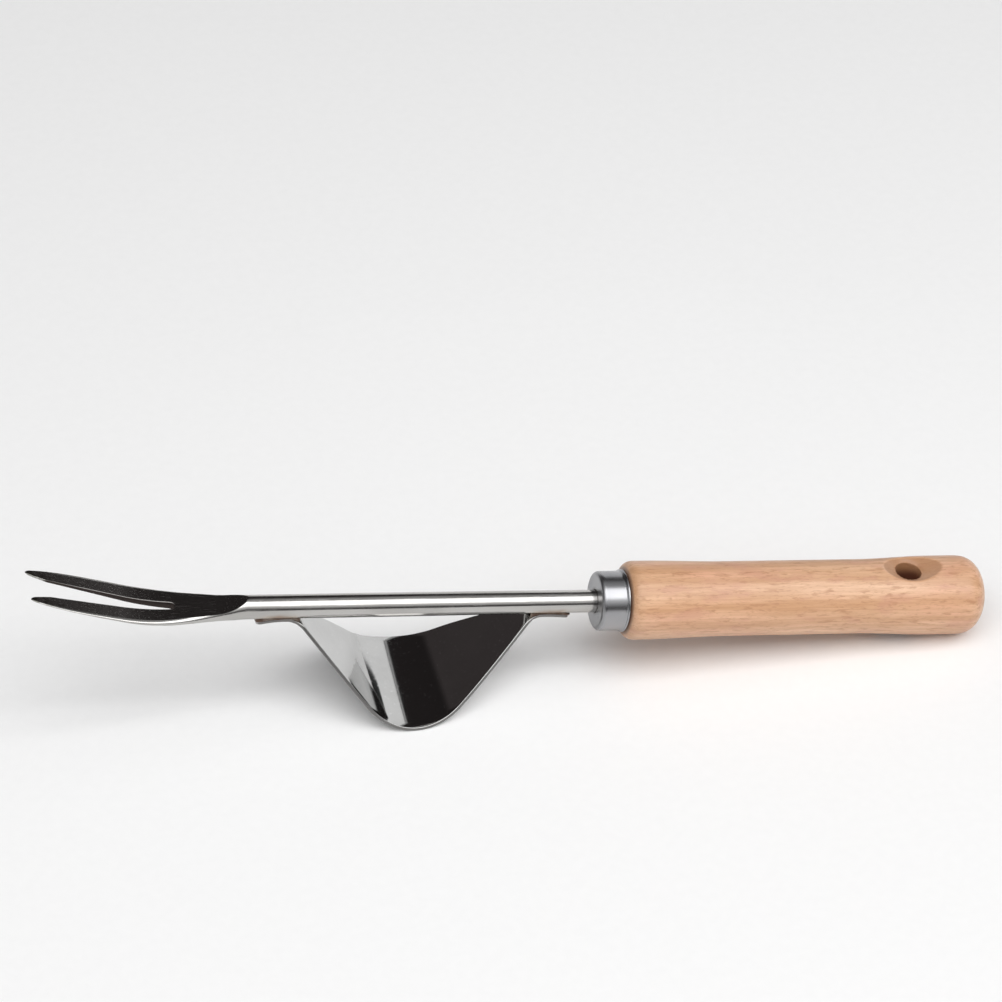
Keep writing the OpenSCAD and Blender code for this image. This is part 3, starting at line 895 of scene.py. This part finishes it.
def build_floor():
    slope, base = resting_plane()
    mesh = bpy.data.meshes.new("floor")
    size = 6000.0
    corners = [(-size, -size), (size, -size), (size, size), (-size, size)]
    mesh.from_pydata([(x * MM, y * MM, (slope * x + base - 0.05) * MM) for x, y in corners],
                     [], [(0, 1, 2, 3)])
    floor = bpy.data.objects.new("floor", mesh)
    bpy.context.scene.collection.objects.link(floor)
    n = Nodes("floor_paper")
    grain = n.noise(n.scaled((300, 300, 300)), detail=2.0)
    n.put(n.shader.inputs["Base Color"],
          n.mix(grain, (0.90, 0.90, 0.90), (0.93, 0.93, 0.93)))
    n.shader.inputs["Roughness"].default_value = 0.9
    n.shader.inputs["Specular IOR Level"].default_value = 0.1
    mesh.materials.append(n.material)


build_floor()


# ---------------------------------------------------------------- light

def build_world():
    """A studio graded round the X axis. The camera itself sees a plain pale background."""
    world = bpy.data.worlds.new("studio")
    bpy.context.scene.world = world
    world.use_nodes = True
    tree = world.node_tree
    tree.nodes.clear()
    out = tree.nodes.new("ShaderNodeOutputWorld")
    background = tree.nodes.new("ShaderNodeBackground")
    coord = tree.nodes.new("ShaderNodeTexCoord")
    split = tree.nodes.new("ShaderNodeSeparateXYZ")
    angle = tree.nodes.new("ShaderNodeMath")
    angle.operation = "ARCTAN2"
    scale = tree.nodes.new("ShaderNodeMapRange")
    scale.inputs[1].default_value = -math.pi
    scale.inputs[2].default_value = math.pi
    ramp = tree.nodes.new("ShaderNodeValToRGB")
    ramp.color_ramp.interpolation = "LINEAR"
    # (degrees from straight up, towards the back; brightness)
    stops = [(-180, 0.55), (-95, 0.50), (-91, 0.04), (-77, 0.03), (-69, 0.34), (-56, 0.80),
             (-46, 1.05), (-34, 0.60), (2, 0.42), (12, 0.42), (22, 0.36), (30, 0.18),
             (37, 0.05), (42, 0.022), (54, 0.020), (59, 0.055), (80, 0.050), (94, 0.30),
             (180, 0.55)]
    elements = ramp.color_ramp.elements
    while len(elements) < len(stops):
        elements.new(0.5)
    for element, (degrees, value) in zip(elements, stops):
        element.position = (degrees + 180) / 360
        warm = 1.0 if value > 0.1 else 0.86
        element.color = (value, value * warm, value * warm, 1.0)
    path = tree.nodes.new("ShaderNodeLightPath")
    seen = tree.nodes.new("ShaderNodeMix")
    seen.data_type = "RGBA"
    seen.inputs[7].default_value = (0.94, 0.94, 0.94, 1.0)
    links = tree.links
    links.new(coord.outputs["Generated"], split.inputs[0])
    links.new(split.outputs[1], angle.inputs[0])
    links.new(split.outputs[2], angle.inputs[1])
    links.new(angle.outputs[0], scale.inputs[0])
    links.new(scale.outputs[0], ramp.inputs[0])
    links.new(path.outputs["Is Camera Ray"], seen.inputs[0])
    links.new(ramp.outputs[0], seen.inputs[6])
    links.new(seen.outputs[2], background.inputs[0])
    links.new(background.outputs[0], out.inputs[0])


def area_light(name, place, aim, width, height, power):
    light = bpy.data.lights.new(name, "AREA")
    light.shape = "RECTANGLE"
    light.size = width
    light.size_y = height
    light.energy = power
    obj = bpy.data.objects.new(name, light)
    bpy.context.scene.collection.objects.link(obj)
    place, aim = Vector(place), Vector(aim)
    turned = (aim - place).to_track_quat("-Z", "Y").to_matrix().to_4x4()
    obj.matrix_world = Matrix.Translation(place) @ turned
    return obj


def build_card():
    """A glowing card behind the tool that only shows in reflections; its top edge slopes."""
    depth, slope = 200.0, math.radians(29.0)
    along, inward = (math.cos(slope), math.sin(slope)), (math.sin(slope), -math.cos(slope))
    before, after, height = 150.0, 470.0, 330.0
    edge_x, edge_z = PLATE_X + 91.0, 136.0
    verts = []
    for u, v in ((-before, 0), (after, 0), (after, height), (-before, height)):
        x = edge_x + along[0] * u + inward[0] * v
        z = edge_z + along[1] * u + inward[1] * v
        verts.append((x * MM, depth * MM, z * MM))
    mesh = bpy.data.meshes.new("reflector_card")
    mesh.from_pydata(verts, [], [(0, 1, 2, 3)])
    card = bpy.data.objects.new("reflector_card", mesh)
    bpy.context.scene.collection.objects.link(card)
    for ray in ("camera", "diffuse", "shadow", "transmission", "volume_scatter"):
        setattr(card, "visible_" + ray, False)
    n = Nodes("card_paper")
    x, _, z = n.split()
    across = n.math("MULTIPLY", n.math("SUBTRACT", x, edge_x * MM), inward[0])
    down = n.math("ADD", across, n.math("MULTIPLY", n.math("SUBTRACT", z, edge_z * MM), inward[1]))
    # From its top edge down: a grey strip, a dark line and then the bright sheet.
    glow = n.ramp(down, 0.0, 0.0015, 0.0, 0.42)
    glow = n.math("SUBTRACT", glow, n.ramp(down, 0.0090, 0.0100, 0.0, 0.30))
    glow = n.math("ADD", glow, n.ramp(down, 0.0130, 0.0150, 0.0, 0.84))
    # A dark corner at the foot of the card, to the right.
    corner = n.math("MULTIPLY", n.ramp(x, -0.004, 0.002), n.ramp(z, 0.036, 0.042, 1.0, 0.0))
    glow = n.math("MULTIPLY", glow, n.math("SUBTRACT", 1.0, n.math("MULTIPLY", corner, 0.97)))
    glowing = n.tree.nodes.new("ShaderNodeEmission")
    n.put(glowing.inputs["Strength"], glow)
    n.link(glowing.outputs[0], n.tree.nodes["Material Output"].inputs["Surface"])
    mesh.materials.append(n.material)


build_world()
build_card()
area_light("overhead_softbox", (-0.14, -0.58, 1.42), (-0.14, 0.0, 0.0), 2.8, 1.15, 25.0)


# ---------------------------------------------------------------- camera

def build_camera():
    """A long lens 1.5 m away, looking down across the tool from the fork's side."""
    turn = math.radians(40.528)
    side = 0.283
    roll = math.radians(1.02)
    pixels_per_mm = 3.022
    frame_pixels = 1002.0
    target = Vector(((TIPS_X + 162.0) * MM, 0.0, 0.0))
    distance = 1.5
    keep = math.sqrt(1 - side * side)
    back = Vector((-side, -keep * math.cos(turn), keep * math.sin(turn)))
    right = Vector((keep, -side * math.cos(turn), side * math.sin(turn)))
    up = Vector((0.0, math.sin(turn), math.cos(turn)))
    right, up = (right * math.cos(roll) - up * math.sin(roll),
                 right * math.sin(roll) + up * math.cos(roll))
    focal_pixels = pixels_per_mm * distance / MM
    # The target sits a little right of the middle of the frame and below it.
    off_right, off_down = 7.6, 101.4
    forward = -back - right * (off_right / focal_pixels) + up * (off_down / focal_pixels)
    forward = forward.normalized()
    right = forward.cross(up).normalized()
    up = right.cross(forward).normalized()
    data = bpy.data.cameras.new("camera")
    data.sensor_width = 36.0
    data.lens = focal_pixels * 36.0 / frame_pixels
    data.clip_start = 0.05
    data.clip_end = 50.0
    camera = bpy.data.objects.new("camera", data)
    bpy.context.scene.collection.objects.link(camera)
    place = target + back * distance
    camera.matrix_world = Matrix((
        (right.x, up.x, -forward.x, place.x),
        (right.y, up.y, -forward.y, place.y),
        (right.z, up.z, -forward.z, place.z),
        (0, 0, 0, 1)))
    bpy.context.scene.camera = camera


build_camera()
bpy.context.scene.view_settings.view_transform = "Standard"
bpy.context.scene.view_settings.look = "None"
